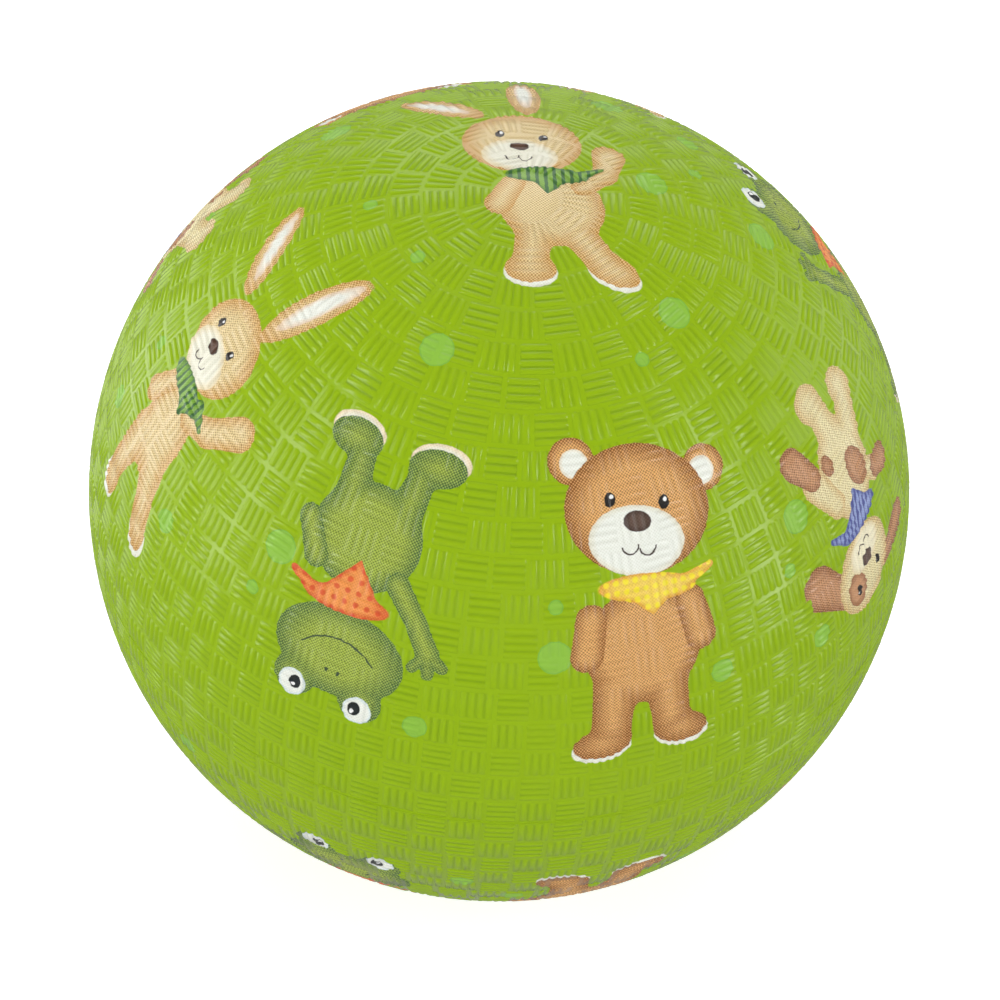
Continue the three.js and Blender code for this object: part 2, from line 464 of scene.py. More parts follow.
class Net:
    """Short names for the nodes of one material."""

    def __init__(self, name):
        self.mat = bpy.data.materials.new(name)
        self.mat.use_nodes = True
        self.nt = self.mat.node_tree
        self.nt.nodes.clear()
        self.out = self.nt.nodes.new("ShaderNodeOutputMaterial")
        self.bsdf = self.nt.nodes.new("ShaderNodeBsdfPrincipled")
        self.nt.links.new(self.bsdf.outputs[0], self.out.inputs[0])

    def put(self, socket, value):
        if isinstance(value, bpy.types.NodeSocket):
            self.nt.links.new(value, socket)
        else:
            socket.default_value = value

    def math(self, op, a, b=0.0, c=0.0, clamp=False):
        n = self.nt.nodes.new("ShaderNodeMath")
        n.operation, n.use_clamp = op, clamp
        for i, v in enumerate((a, b, c)):
            self.put(n.inputs[i], v)
        return n.outputs[0]

    def vec(self, op, a, b=(0, 0, 0), scale=None):
        n = self.nt.nodes.new("ShaderNodeVectorMath")
        n.operation = op
        self.put(n.inputs[0], a)
        self.put(n.inputs[1], b)
        if scale is not None:
            self.put(n.inputs["Scale"], scale)
        return n.outputs["Value"] if op in ("LENGTH", "DOT_PRODUCT", "DISTANCE") else n.outputs["Vector"]

    def mix(self, fac, a, b, blend="MIX"):
        n = self.nt.nodes.new("ShaderNodeMix")
        n.data_type, n.blend_type = "RGBA", blend
        self.put(n.inputs[0], fac)
        self.put(n.inputs[6], a)
        self.put(n.inputs[7], b)
        return n.outputs[2]

    def noise(self, vector, scale, detail=2.0, rough=0.5, colour=False, distortion=0.0):
        n = self.nt.nodes.new("ShaderNodeTexNoise")
        self.put(n.inputs["Vector"], vector)
        n.inputs["Scale"].default_value = scale
        n.inputs["Detail"].default_value = detail
        n.inputs["Roughness"].default_value = rough
        n.inputs["Distortion"].default_value = distortion
        return n.outputs["Color"] if colour else n.outputs["Fac"]

    def attribute(self, name, out="Vector"):
        n = self.nt.nodes.new("ShaderNodeAttribute")
        n.attribute_name = name
        return n.outputs[out]

    def where(self):
        n = self.nt.nodes.new("ShaderNodeTexCoord")
        return n.outputs["Object"]

    def ramp(self, x, lo, hi, a=0.0, b=1.0):
        n = self.nt.nodes.new("ShaderNodeMapRange")
        n.clamp = True
        for i, v in enumerate((x, lo, hi, a, b)):
            self.put(n.inputs[i], v)
        return n.outputs[0]

    def bump(self, height, strength, distance):
        n = self.nt.nodes.new("ShaderNodeBump")
        n.inputs["Strength"].default_value = strength
        n.inputs["Distance"].default_value = distance
        self.put(n.inputs["Height"], height)
        self.nt.links.new(n.outputs[0], self.bsdf.inputs["Normal"])

    # shapes on the figure's sheet, as a distance in mm, negative inside
    def shape(self, p, s):
        kind = s[0]
        if kind == "e":
            _, x, y, rx, ry, turn = s
            n = self.nt.nodes.new("ShaderNodeMapping")
            n.vector_type = "TEXTURE"
            self.put(n.inputs["Vector"], p)
            n.inputs["Location"].default_value = (x, y, 0)
            n.inputs["Rotation"].default_value = (0, 0, math.radians(turn))
            n.inputs["Scale"].default_value = (rx, ry, 1)
            r = min(rx, ry)
            return self.math("MULTIPLY_ADD", self.vec("LENGTH", n.outputs[0]), r, -r)
        if kind == "c":
            _, x0, y0, x1, y1, r0, r1 = s
            d = (x1 - x0, y1 - y0, 0)
            l2 = d[0] ** 2 + d[1] ** 2
            q = self.vec("SUBTRACT", p, (x0, y0, 0))
            h = self.math("MULTIPLY", self.vec("DOT_PRODUCT", q, d), 1 / l2, clamp=True)
            near = self.vec("SCALE", d, scale=h)
            dist = self.vec("DISTANCE", q, near)
            return self.math("SUBTRACT", dist, self.math("MULTIPLY_ADD", h, r1 - r0, r0))
        if kind == "t":  # convex outline, counter-clockwise, with corners rounded by s[1]
            out = None
            pts = s[2]
            for (x0, y0), (x1, y1) in zip(pts, pts[1:] + pts[:1]):
                length = math.hypot(x1 - x0, y1 - y0)
                nx, ny = (y1 - y0) / length, -(x1 - x0) / length
                d = self.math("SUBTRACT", self.vec("DOT_PRODUCT", p, (nx, ny, 0)), nx * x0 + ny * y0)
                out = d if out is None else self.math("SMOOTH_MAX", out, d, s[1])
            return out
        if kind == "arc":  # stroke of a circle, the part below (side -1) or above (1) the line y
            _, x, y, r, w, cut, side = s
            ring = self.math("SUBTRACT", self.math("ABSOLUTE", self.math("SUBTRACT", self.vec("DISTANCE", p, (x, y, 0)), r)), w / 2)
            half = self.math("MULTIPLY", self.math("SUBTRACT", self.vec("DOT_PRODUCT", p, (0, 1, 0)), cut), -side)
            return self.math("MAXIMUM", ring, half)
        raise ValueError(kind)

    def union(self, p, shapes, soft):
        out = None
        for s in shapes:
            d = self.shape(p, s)
            out = d if out is None else self.math("SMOOTH_MIN", out, d, soft)
        return out

    def cut(self, d, soft=0.16):
        return self.math("MULTIPLY_ADD", d, -1 / soft, 0.5, clamp=True)


def E(x, y, rx, ry=None, turn=0):
    return ("e", x, y, rx, ry if ry is not None else rx, turn)


def C(x0, y0, x1, y1, r0, r1=None):
    return ("c", x0, y0, x1, y1, r0, r1 if r1 is not None else r0)


def T(*pts, soft=0.6):
    return ("t", soft, list(pts))


def A(x, y, r, w, cut, side=-1):
    return ("arc", x, y, r, w, cut, side)


# Colours of the inks, sRGB
TAN, TAN_EDGE, CREAM, WHITE = (226, 204, 152), (200, 142, 62), (234, 232, 212), (238, 241, 230)
BROWN, BROWN_EDGE, DARK = (220, 168, 104), (138, 80, 32), (64, 50, 44)
OLIVE, OLIVE_EDGE = (160, 178, 70), (72, 108, 62)
BUFF, BUFF_EDGE, PATCH, PATCH_EDGE = (232, 218, 170), (206, 166, 104), (196, 146, 106), (138, 86, 52)

# Each figure: layers of (shapes, blend of their union, colour inside, colour at the edge, depth of the shading, pattern)
# A pattern is ("stripe", colour, angle, pitch, share) or ("spot", colour, pitch, radius).
RABBIT = [
    ([E(-7.4, -39.4, 3.7, 5.0, 6), E(10.4, -38.4, 3.6, 5.6, 22)], 1.5, WHITE, CREAM, 1.0, None),
    ([E(1.6, -16.5, 8.2, 11.8, 2), C(-3.2, -22, -6.4, -34, 4.8, 3.2), C(5.0, -23, 8.8, -33, 4.8, 3.2), E(-6.9, -38.3, 3.5, 4.8, 6), E(9.9, -37.2, 3.4, 5.4, 22)], 2.0, TAN, TAN_EDGE, 3.6, None),
    ([C(6.0, -9.5, 12.5, -6.5, 2.4, 3.0), C(12.5, -6.5, 18.6, 0.0, 3.0, 3.7), C(-4.8, -8.5, -8.6, -14.5, 2.4, 2.9)], 1.2, TAN, TAN_EDGE, 2.6, None),
    ([E(-15.2, 23.4, 11.2, 3.5, 129), E(6.4, 26.6, 13.2, 3.9, 80)], 0.3, TAN, TAN_EDGE, 2.2, None),
    ([E(-15.6, 24.2, 8.6, 1.8, 129), E(6.6, 27.8, 10.2, 2.1, 80)], 0.2, WHITE, (226, 190, 150), 1.1, None),
    ([E(-0.8, 5.4, 11.2, 9.9, -16)], 0.2, TAN, TAN_EDGE, 3.8, None),
    ([E(-2.6, 0.6, 7.6, 5.4, -12)], 0.2, CREAM, (226, 206, 160), 1.6, None),
    ([E(-3.0, 3.4, 1.9, 1.35, -12)], 0.1, (92, 62, 44), (52, 36, 30), 0.9, None),
    ([A(-4.4, 0.1, 1.35, 0.28, 0.1), A(-1.7, -0.4, 1.35, 0.28, -0.4)], 0.05, DARK, DARK, 1.0, None),
    ([E(-6.6, 7.4, 0.95, 1.25, -12), E(2.2, 6.0, 0.95, 1.25, -12)], 0.1, (40, 34, 32), (24, 22, 22), 0.6, None),
    ([E(-6.35, 7.8, 0.34), E(2.45, 6.4, 0.34)], 0.1, (250, 250, 248), (250, 250, 248), 0.5, None),
    ([E(-0.3, -6.4, 8.0, 2.6, -8), T((-3.8, -6.4), (2.6, -11.6), (6.2, -6.8)), C(6.0, -5.6, 10.2, -8.2, 1.5, 0.7)], 0.8, (126, 170, 60), (60, 104, 48), 0.9, ("stripe", (44, 92, 52), 82, 1.7, 0.42)),
]
HARE = [
    ([E(2.4, -5.6, 5.4, 3.3, 3), E(19.2, -3.0, 5.8, 3.5, -14)], 0.6, WHITE, CREAM, 1.0, None),
    ([E(5.6, 12.0, 10.8, 10.4, 0), C(2.6, 5, 2.0, -2.8, 4.0, 3.4), C(11.4, 5, 16.8, -0.6, 3.8, 3.2), E(2.3, -4.7, 5.2, 3.2, 3), E(19.0, -2.1, 5.6, 3.4, -14)], 2.2, TAN, TAN_EDGE, 3.6, None),
    ([C(11.4, 18.6, 16.0, 24.0, 2.4, 2.6), C(16.0, 24.0, 16.6, 31.0, 2.6, 3.7), C(-2.8, 17.4, -5.2, 11.4, 2.6, 3.0)], 1.0, TAN, TAN_EDGE, 2.6, None),
    ([E(-20.4, 48.4, 11.4, 3.5, 148), E(-2.6, 56.4, 12.2, 3.8, 97)], 0.3, TAN, TAN_EDGE, 2.2, None),
    ([E(-21.4, 49.0, 8.8, 1.8, 148), E(-2.7, 57.6, 9.4, 2.0, 97)], 0.2, WHITE, (226, 190, 150), 1.1, None),
    ([E(-1.8, 32.2, 12.6, 11.2, -4)], 0.2, TAN, TAN_EDGE, 4.0, None),
    ([E(-2.0, 27.0, 8.0, 5.6, -4)], 0.2, CREAM, (226, 206, 160), 1.6, None),
    ([E(-2.2, 30.0, 2.0, 1.45, -4)], 0.1, (92, 62, 44), (52, 36, 30), 0.9, None),
    ([A(-3.6, 26.6, 1.4, 0.28, 26.6), A(-0.8, 26.5, 1.4, 0.28, 26.5)], 0.05, DARK, DARK, 1.0, None),
    ([E(-6.6, 34.6, 1.0, 1.3, -4), E(2.6, 34.2, 1.0, 1.3, -4)], 0.1, (40, 34, 32), (24, 22, 22), 0.6, None),
    ([E(-6.3, 35.05, 0.36), E(2.9, 34.65, 0.36)], 0.1, (250, 250, 248), (250, 250, 248), 0.5, None),
    ([E(4.0, 21.0, 8.6, 2.6, 6), T((-0.4, 20.6), (4.4, 15.0), (9.6, 21.4)), C(10.6, 22.2, 15.0, 25.4, 1.3, 0.6)], 0.8, (126, 170, 60), (60, 104, 48), 0.9, ("stripe", (44, 92, 52), 96, 1.8, 0.42)),
]
BEAR = [
    ([E(-8.4, -31.0, 6.3, 3.6, 4), E(9.0, -31.0, 6.2, 3.6, -10)], 0.4, WHITE, CREAM, 1.0, None),
    ([E(1.6, -9.0, 12.4, 12.6, 0), C(-5.2, -17, -6.2, -26, 4.6, 4.2), C(5.6, -17, 6.6, -26, 4.6, 4.2), E(-8.2, -29.9, 6.2, 3.7, 4), E(8.8, -29.9, 6.1, 3.7, -10)], 2.0, BROWN, BROWN_EDGE, 3.8, None),
    ([C(-8.8, -1.4, -10.4, -9.0, 3.2, 3.4), C(12.0, -1.6, 13.8, -9.4, 3.2, 3.4)], 0.6, BROWN, BROWN_EDGE, 2.4, None),
    ([E(-7.8, 30.4, 4.7), E(19.4, 23.8, 4.7)], 0.2, BROWN, BROWN_EDGE, 1.8, None),
    ([E(-7.4, 29.8, 2.9), E(18.9, 23.3, 2.9)], 0.2, WHITE, (228, 214, 186), 0.8, None),
    ([E(4.0, 18.6, 15.2, 13.0, -14)], 0.2, BROWN, BROWN_EDGE, 4.4, None),
    ([E(2.6, 12.6, 10.0, 7.0, -14)], 0.2, WHITE, (226, 220, 196), 1.2, None),
    ([E(3.2, 16.4, 2.9, 2.1, -14)], 0.1, (98, 78, 68), (62, 46, 42), 1.1, None),
    ([A(1.0, 11.9, 1.7, 0.32, 11.9), A(4.5, 11.1, 1.7, 0.32, 11.1)], 0.05, DARK, DARK, 1.0, None),
    ([E(-1.6, 21.6, 1.15, 1.45, -14), E(9.4, 19.0, 1.15, 1.45, -14)], 0.1, (40, 36, 36), (22, 22, 24), 0.6, None),
    ([E(-1.2, 22.1, 0.42), E(9.8, 19.5, 0.42)], 0.1, (250, 250, 248), (250, 250, 248), 0.5, None),
    ([E(3.4, 3.0, 10.2, 2.9, -8), T((-2.0, 2.6), (4.0, -3.0), (9.6, 2.2)), C(11.6, 2.6, 17.4, 4.6, 1.5, 0.7)], 0.9, (242, 208, 88), (222, 150, 52), 1.1, ("spot", (248, 232, 40), 2.0, 0.62)),
]
FROG = [
    ([E(8.8, -30.2, 6.0, 3.6, -4), E(-9.4, -29.9, 6.2, 3.6, 6)], 0.3, CREAM, (240, 214, 176), 1.0, None),
    ([E(0.0, -11.0, 11.6, 11.0, 0), C(5.6, -18, 6.2, -25, 3.6, 3.0), C(-6.0, -18, -6.8, -25, 3.6, 3.0), E(8.7, -28.8, 5.8, 3.8, -4), E(-9.2, -28.5, 6.0, 3.8, 6)], 1.6, OLIVE, OLIVE_EDGE, 4.0, None),
    ([C(-9.0, -4.2, -14.4, 1.8, 2.5, 2.2), C(-14.4, 1.8, -18.4, 7.8, 2.2, 2.4), C(-18.4, 7.8, -21.8, 9.8, 1.5, 1.3), C(-18.4, 7.8, -19.4, 12.0, 1.5, 1.3), C(-18.4, 7.8, -16.0, 11.4, 1.4, 1.2), C(8.8, -4.0, 12.4, -11.0, 2.6, 2.4)], 0.7, OLIVE, OLIVE_EDGE, 2.2, None),
    ([E(-0.8, 14.0, 14.0, 9.8, -3), E(7.4, 22.6, 4.6), E(-7.4, 23.4, 4.6)], 1.6, OLIVE, OLIVE_EDGE, 4.6, None),
    ([E(7.6, 24.6, 3.1), E(-7.2, 25.4, 3.1)], 0.1, WHITE, (206, 222, 226), 0.8, None),
    ([E(6.9, 24.4, 1.35, 1.6), E(-6.5, 25.2, 1.35, 1.6)], 0.1, (34, 40, 42), (20, 24, 26), 0.6, None),
    ([E(7.3, 25.1, 0.45), E(-6.1, 25.9, 0.45)], 0.1, (250, 250, 248), (250, 250, 248), 0.5, None),
    ([A(-0.6, 21.4, 10.4, 0.36, 14.6)], 0.05, (66, 84, 60), (66, 84, 60), 1.0, None),
    ([E(-1.8, 18.6, 0.36, 0.5), E(0.8, 18.5, 0.36, 0.5)], 0.05, (66, 84, 60), (66, 84, 60), 1.0, None),
    ([E(0.0, 2.8, 9.0, 2.6, 2), T((-7.4, 2.4), (-0.6, -6.4), (6.6, 2.6)), C(7.4, 2.8, 12.6, 0.2, 1.5, 0.7)], 0.8, (238, 150, 76), (214, 80, 40), 1.3, ("spot", (214, 74, 44), 2.4, 0.6)),
]
DOG = [
    ([C(-2.4, -7.0, -2.2, -14.6, 4.0, 3.6), C(-8.6, -4.6, -12.6, -10.2, 4.0, 3.6), E(-1.6, -16.6, 4.6, 3.9, 10), E(-13.6, -12.2, 4.6, 3.9, -30), E(-1.6, 0.4, 9.2, 11.2, -8)], 1.8, BUFF, BUFF_EDGE, 3.0, None),
    ([C(6.0, 4.0, 9.4, -4.0, 3.0, 3.6), C(-8.4, 6.0, -10.6, 7.8, 2.4, 2.8)], 0.8, BUFF, BUFF_EDGE, 2.2, None),
    ([C(9.0, -5.6, 11.6, -11.4, 2.8, 3.6), C(-12.0, 8.2, -15.4, 8.6, 2.7, 3.2), E(-5.0, 2.6, 3.6, 4.8, 14), E(3.4, -4.2, 1.9, 2.4, 0)], 0.3, PATCH, PATCH_EDGE, 1.8, None),
    ([C(11.6, 24.4, 19.6, 15.2, 3.0, 5.0), C(-5.6, 27.8, -16.4, 25.2, 2.4, 3.4)], 0.3, PATCH, PATCH_EDGE, 2.4, None),
    ([E(3.4, 23.0, 11.0, 9.6, 8)], 0.2, BUFF, BUFF_EDGE, 3.0, None),
    ([E(8.0, 25.6, 3.5, 4.3, 20)], 0.2, PATCH, PATCH_EDGE, 1.6, None),
    ([E(2.4, 18.8, 6.4, 4.6, 8)], 0.2, (242, 234, 202), (228, 208, 160), 1.2, None),
    ([E(2.2, 21.4, 2.3, 1.7, 8)], 0.1, (104, 84, 76), (66, 50, 46), 0.9, None),
    ([A(1.0, 18.2, 1.35, 0.28, 18.2), A(3.7, 18.5, 1.35, 0.28, 18.5)], 0.05, DARK, DARK, 1.0, None),
    ([E(-1.6, 25.4, 0.95, 1.25, 8), E(7.4, 26.4, 0.95, 1.25, 8)], 0.1, (40, 34, 32), (24, 22, 22), 0.6, None),
    ([E(-1.3, 25.8, 0.34), E(7.7, 26.8, 0.34)], 0.1, (250, 250, 248), (250, 250, 248), 0.5, None),
    ([E(1.0, 11.6, 8.0, 2.5, 4), T((-5.4, 11.0), (-0.4, 4.8), (6.0, 11.4)), C(7.2, 12.0, 11.6, 9.4, 1.4, 0.6)], 0.8, (146, 160, 206), (74, 84, 150), 1.0, ("stripe", (62, 70, 140), 70, 1.5, 0.45)),
]
ART = {"rabbit": RABBIT, "hare": HARE, "bear": BEAR, "frog": FROG, "dog": DOG}

# the deeper lime serves both as painted shade in the grooves and as a random mottle of the rubber
LIME, LIME_SHADE_AND_MOTTLE, LIME_PALE = (0.284, 0.452, 0.0006, 1), (0.216, 0.360, 0.0004, 1), (0.296, 0.458, 0.0020, 1)
MINT, MINT_RIM = (0.262, 0.530, 0.064, 1), (0.165, 0.405, 0.050, 1)


def cover_material(name, art=None):
    """Satin lime rubber with its dots and painted shade in the grooves of the weave, and a figure's inks over it."""
    n = Net(name)
    at = n.where()
    relief = n.attribute("relief", "Fac")
    big = n.noise(at, 32, 3, 0.55)
    fine = n.noise(at, 900, 2, 0.6)
    grain = n.noise(at, 2600, 1, 0.5)
    # painted shade: the grooves between ribs, where the relief attribute is low, are painted a deeper lime
    col = n.mix(n.ramp(relief, 0.0, 0.30), LIME_SHADE_AND_MOTTLE, LIME)
    col = n.mix(n.ramp(big, 0.35, 0.75, 0.0, 0.7), col, LIME_PALE)
    col = n.mix(n.math("MULTIPLY", fine, 0.16), col, LIME_SHADE_AND_MOTTLE)
    dot = n.attribute("dot")
    sep = n.nt.nodes.new("ShaderNodeSeparateXYZ")
    n.put(sep.inputs[0], dot)
    flat = n.vec("MULTIPLY", dot, (1, 1, 0))
    wob = n.vec("SCALE", n.vec("SUBTRACT", n.noise(at, 1100, 1, 0.5, colour=True), (0.5, 0.5, 0.5)), scale=0.34)
    dd = n.math("SUBTRACT", n.vec("LENGTH", n.vec("ADD", flat, n.vec("MULTIPLY", wob, (1, 1, 0)))), sep.outputs[2])
    inside = n.cut(dd, 0.14)
    rim = n.cut(n.math("SUBTRACT", n.math("ABSOLUTE", n.math("ADD", dd, 0.10)), 0.13), 0.14)
    col = n.mix(n.math("MULTIPLY", inside, 0.80), col, MINT)
    col = n.mix(n.math("MULTIPLY", rim, 0.55), col, MINT_RIM)
    ink = inside
    if art:
        raw = n.vec("ADD", n.attribute("fig"), n.vec("MULTIPLY", wob, (1, 1, 0)))
        sx = n.nt.nodes.new("ShaderNodeSeparateXYZ")
        n.put(sx.inputs[0], raw)
        u, v = sx.outputs[0], sx.outputs[1]
        k = 2 * math.pi / 0.70
        a = n.math("SINE", n.math("MULTIPLY", u, k))
        b = n.math("SINE", n.math("MULTIPLY", v, k))
        screen = n.math("MULTIPLY", a, b)
        highs, lows = n.math("MULTIPLY", screen, 1.7, clamp=True), n.math("MULTIPLY", screen, -1.7, clamp=True)
        blotch = n.noise(raw, 0.32, 3, 0.6)
        fur = n.noise(raw, 1.5, 3, 0.65, distortion=0.6)
        soft_jitter = n.math("ADD", n.math("MULTIPLY_ADD", fur, 0.9, -0.45), n.math("MULTIPLY_ADD", blotch, 0.8, -0.40))
        cover = None
        for shapes, soft, inner, edge, depth, pattern in art:
            d = n.union(raw, shapes, soft)
            mask = n.cut(d)
            furry = depth > 1.7
            tone = n.math("MULTIPLY_ADD", d, -0.95 / depth, 0.03 if furry else 0.12, clamp=True)
            tone = n.math("MULTIPLY_ADD", soft_jitter, 0.34 if furry else 0.12, tone, clamp=True)
            paint = n.mix(tone, linear(*edge), linear(*inner))
            paint = n.mix(n.math("MULTIPLY", lows, 0.62 if furry else 0.18), paint, linear(*[0.72 * v for v in edge]))
            paint = n.mix(n.math("MULTIPLY", highs, 0.52 if furry else 0.16), paint, linear(*[min(255, 1.06 * v + 22) for v in inner]))
            if pattern and pattern[0] == "stripe":
                _, c, ang, pitch, share = pattern
                along = n.vec("DOT_PRODUCT", raw, (math.sin(math.radians(ang)), -math.cos(math.radians(ang)), 0))
                wave = n.math("SINE", n.math("MULTIPLY", along, 2 * math.pi / pitch))
                paint = n.mix(n.ramp(wave, 0.05, 0.45, 0.0, 0.88), paint, linear(*c))
            elif pattern:
                _, c, pitch, radius = pattern
                cell = n.vec("SUBTRACT", n.vec("MODULO", n.vec("ADD", raw, (200, 200, 0)), (pitch, pitch, 1)), (pitch / 2, pitch / 2, 0))
                spot = n.cut(n.math("SUBTRACT", n.vec("LENGTH", n.vec("MULTIPLY", cell, (1, 1, 0))), radius), 0.3)
                paint = n.mix(n.math("MULTIPLY", spot, 0.8), paint, linear(*c))
            col = n.mix(mask, col, paint)
            cover = mask if cover is None else n.math("MAXIMUM", cover, mask)
        # painted shade: the inks are painted darker in the grooves between ribs
        col = n.mix(n.math("MULTIPLY", n.math("SUBTRACT", 1.0, relief), n.math("MULTIPLY", cover, 0.08)), col, (0.10, 0.09, 0.03, 1))
        ink = n.math("MAXIMUM", ink, cover)
    n.put(n.bsdf.inputs["Base Color"], col)
    rough = n.math("ADD", n.math("MULTIPLY_ADD", big, 0.08, 0.11), n.math("MULTIPLY", ink, 0.05))
    rough = n.math("ADD", rough, n.math("MULTIPLY_ADD", fine, 0.06, -0.01))
    n.put(n.bsdf.inputs["Roughness"], rough)
    n.bsdf.inputs["Specular IOR Level"].default_value = 0.37
    n.bsdf.inputs["IOR"].default_value = 1.5
    n.bump(n.math("ADD", fine, n.math("MULTIPLY", grain, 0.5)), 0.22, 0.00006)
    return n.mat


COVER = [cover_material("cover_plain")]
KIND = {}
for kind, art in ART.items():
    KIND[kind] = len(COVER)
    COVER.append(cover_material("cover_" + kind, art))


def moulded(name, colour, deep, rough, scale=60):
    """Plain moulded rubber for the parts inside and the valve."""
    n = Net(name)
    at = n.where()
    big, fine = n.noise(at, scale, 4, 0.6), n.noise(at, 1800, 2, 0.6)
    col = n.mix(n.ramp(big, 0.3, 0.75), colour, deep)
    n.put(n.bsdf.inputs["Base Color"], n.mix(n.math("MULTIPLY", fine, 0.35), col, deep))
    n.put(n.bsdf.inputs["Roughness"], n.math("MULTIPLY_ADD", big, 0.18, rough))
    n.bump(fine, 0.3, 0.00008)
    return n.mat


for node, mat in {
    "bladder": moulded("bladder_butyl", (0.030, 0.030, 0.028, 1), (0.018, 0.018, 0.017, 1), 0.62),
    "valve_patch": moulded("patch_gum", (0.46, 0.34, 0.15, 1), (0.36, 0.25, 0.10, 1), 0.66),
    "valve_housing": moulded("valve_rubber", (0.035, 0.050, 0.020, 1), (0.022, 0.034, 0.012, 1), 0.42, 200),
    "valve_plug": moulded("plug_butyl", (0.016, 0.016, 0.015, 1), (0.010, 0.010, 0.010, 1), 0.55, 300),
}.items():
    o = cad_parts[node]
    if not o.data.materials:
        o.data.materials.append(mat)
    for s in o.material_slots:
        s.link = "OBJECT"
        s.material = mat

# ---------------------------------------------------------------- more dots where the photograph doesn't reach
spots = list(DOTS)
rng = np.random.default_rng(SEED)
fig_axes = [axes_at(lon, colat, turn) for _, lon, colat, turn, _, _ in FIGURES]
tries = 0
while len(spots) < 78 and tries < 6000:
    tries += 1
    lon, colat = rng.uniform(0, 360), math.degrees(math.acos(rng.uniform(-0.96, 0.9)))
    size = (4.4, 3.2, 1.9)[int(rng.integers(0, 3))]
    seen_front = abs((lon + 180) % 360 - 180) < 100 and colat < 100
    if seen_front:
        continue
    d = unit(lon, colat)
    if any(math.degrees(math.acos(np.clip(d @ unit(a, c), -1, 1))) < (s + size) / 2 + 5.5 for a, c, s in spots):
        continue
    clash = False
    for (kind, *_), axes in zip(FIGURES, fig_axes):
        u, v = on_sheet(d[None], axes)[0]
        for shapes, *_r in ART[kind]:
            for s in shapes:
                if s[0] == "e" and math.hypot(u - s[1], v - s[2]) < max(s[3], s[4]) + 4.2:
                    clash = True
                if s[0] == "c":
                    for f in (0, 0.5, 1):
                        if math.hypot(u - s[1] - f * (s[3] - s[1]), v - s[2] - f * (s[4] - s[2])) < 7.5:
                            clash = True
    if not clash:
        spots.append((lon, colat, size))
spot_dirs = unit(np.array([s[0] for s in spots]), np.array([s[1] for s in spots]))
spot_axes = [axes_at(s[0], s[1], 0) for s in spots]

# ---------------------------------------------------------------- the bands of the cover
NAMES = ["cover_band_%02d" % (i + 1) for i in range(10)]


def bake_layout(b, v, t, outer):
    """A flat layout of the band for baked textures: longitude strips one above another, or a disc at a pole."""
    lon, colat = v[t][:, :, 0], v[t][:, :, 1]
    uv = np.zeros((len(t), 3, 2))
    if b in (0, 9):
        away = colat if b == 0 else 180 - colat
        a = np.radians(lon)
        r = 0.49 * away / 18.05
        uv[..., 0], uv[..., 1] = 0.5 + r * np.sin(a), 0.5 + r * np.cos(a)
        inside = ~outer
        uv[inside, :, 0] = 0.045 + (uv[inside, :, 0] - 0.5) * 0.08
        uv[inside, :, 1] = 0.045 + (uv[inside, :, 1] - 0.5) * 0.08
        return uv
    d = unit(v[:, 0], v[:, 1])[t].sum(1)
    mid = np.degrees(np.arctan2(d[:, 0], -d[:, 1])) % 360
    c0, c1 = 18.0 * b, 18.0 * (b + 1)
    strips = 5 if b in (3, 4, 5, 6) else 4 if b in (2, 7) else 3
    span = 360.0 / strips
    strip = np.minimum((mid // span).astype(int), strips - 1)
    spare = 5.0
    local = (lon - (strip * span + span / 2)[:, None] + 180) % 360 - 180
    near = (local[:, :1] * 0 + ((mid - (strip * span + span / 2)) + 180)[:, None] % 360 - 180)
    local = near + ((local - near + 180) % 360 - 180)
    floor = 0.05
    uv[..., 0] = 0.5 + local / (span + 2 * spare) * 0.985
    uv[..., 1] = floor + (strip[:, None] + 0.03 + 0.94 * (colat - c0) / (c1 - c0)) / strips * (1 - floor)
    inside = ~outer
    near = mid[inside][:, None]
    local = near + ((lon[inside] - near + 180) % 360 - 180)
    uv[inside, :, 0] = 0.02 + 0.96 * local / 380
    uv[inside, :, 1] = 0.006 + 0.034 * (colat[inside] - c0) / (c1 - c0)
    return uv


